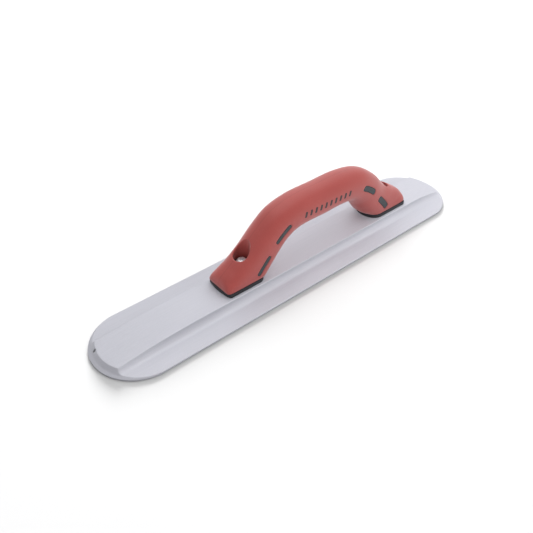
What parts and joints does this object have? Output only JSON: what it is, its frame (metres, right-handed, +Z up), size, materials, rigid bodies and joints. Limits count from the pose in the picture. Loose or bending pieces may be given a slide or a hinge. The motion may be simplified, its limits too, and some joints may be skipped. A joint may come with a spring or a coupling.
{
  "type": "hand float",
  "caption": "Long round-ended light-alloy hand float with a raised central rib and a curved soft-grip bridge handle screwed down on two feet.",
  "frame": {"origin": "centre of the blade's flat underside", "axes": "+X along the blade towards its rear end, +Y to the float's left, +Z up from the working face to the handle"},
  "size_m": [0.4064, 0.0794, 0.0746],
  "materials": {
    "blade": "satin extruded magnesium alloy",
    "grip": "smooth satin soft moulding",
    "core": "moulded",
    "inlay": "matt moulded",
    "pad": "matt moulded",
    "steel": "bright zinc plate"
  },
  "bodies": {
    "root": {"float_blade": "blade", "soft_grip": "grip", "handle_core_left": "core", "handle_core_right": "core", "inlay_left_front_lower": "inlay", "inlay_left_front_upper": "inlay", "inlay_left_rear_upper": "inlay", "inlay_left_rear_lower": "inlay", "inlay_right_front_lower": "inlay", "inlay_right_front_upper": "inlay", "inlay_right_rear_upper": "inlay", "inlay_right_rear_lower": "inlay", "front_foot_pad": "pad", "front_thread_insert": "steel", "front_washer": "steel", "front_screw": "steel", "rear_foot_pad": "pad", "rear_thread_insert": "steel", "rear_washer": "steel", "rear_screw": "steel"}
  },
  "joints": []
}
